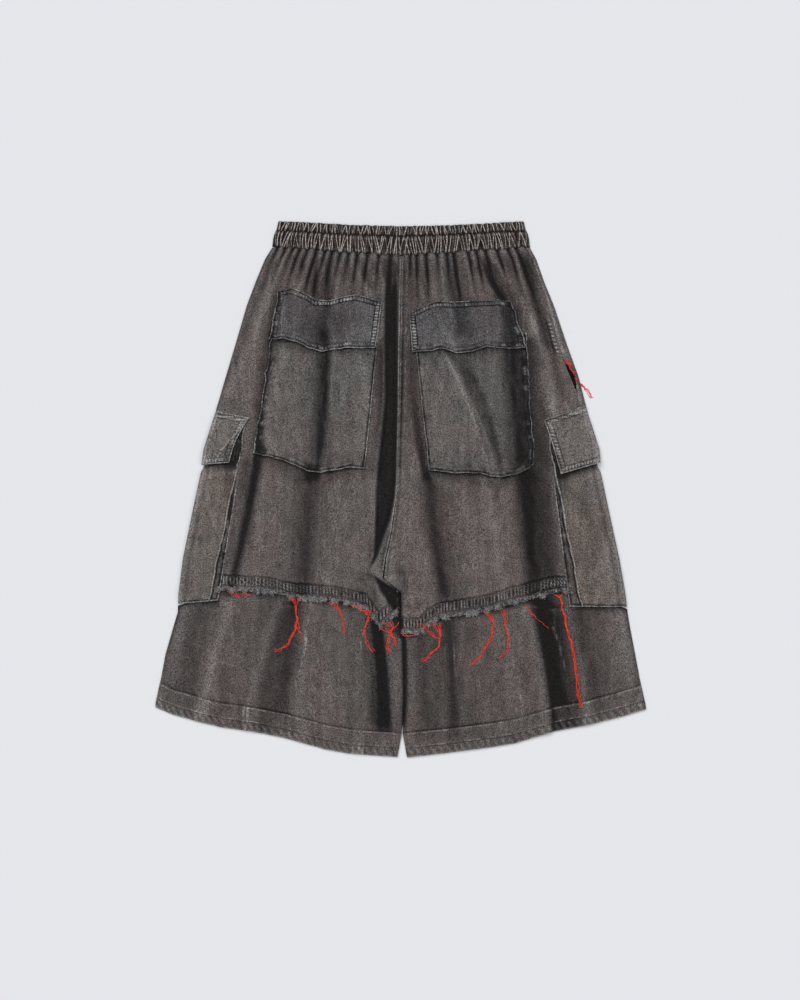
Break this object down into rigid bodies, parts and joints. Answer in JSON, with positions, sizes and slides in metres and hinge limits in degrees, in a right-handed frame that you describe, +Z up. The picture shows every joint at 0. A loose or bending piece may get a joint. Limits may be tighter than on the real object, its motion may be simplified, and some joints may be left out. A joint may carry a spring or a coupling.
{
  "type": "gathered wide-leg twill shorts",
  "caption": "Wide-leg washed twill shorts with an elastic waist, patch and cargo pockets and a tiered raw-edge hem, laid flat with the back up.",
  "frame": {"origin": "middle of the outline, on the surface it lies on", "axes": "+Y runs from the hem to the waist, +X to the right as seen from above, +Z up from the surface"},
  "size_m": [0.6471, 0.7061, 0.0223],
  "materials": {
    "twill": "washed charcoal brown twill, matt",
    "pocket_twill": "washed charcoal twill, slightly cooler, matt",
    "band_twill": "gathered twill over elastic, matt",
    "red_thread": "loose cotton thread"
  },
  "bodies": {
    "root": {"waistband": "band_twill", "back_left": "twill", "back_right": "twill", "front_left": "twill", "front_right": "twill", "tier_back_left": "twill", "tier_back_right": "twill", "tier_front_left": "twill", "tier_front_right": "twill", "pocket_bag_left": "pocket_twill", "pocket_bag_right": "pocket_twill", "pocket_flap_left": "pocket_twill", "pocket_flap_right": "pocket_twill", "cargo_bag_left": "pocket_twill", "cargo_bag_right": "pocket_twill", "cargo_flap_left": "pocket_twill", "cargo_flap_right": "pocket_twill", "thread_a": "red_thread", "thread_b": "red_thread", "thread_c": "red_thread", "thread_d": "red_thread", "thread_e": "red_thread", "thread_f": "red_thread", "thread_g": "red_thread", "thread_h": "red_thread"}
  },
  "joints": []
}
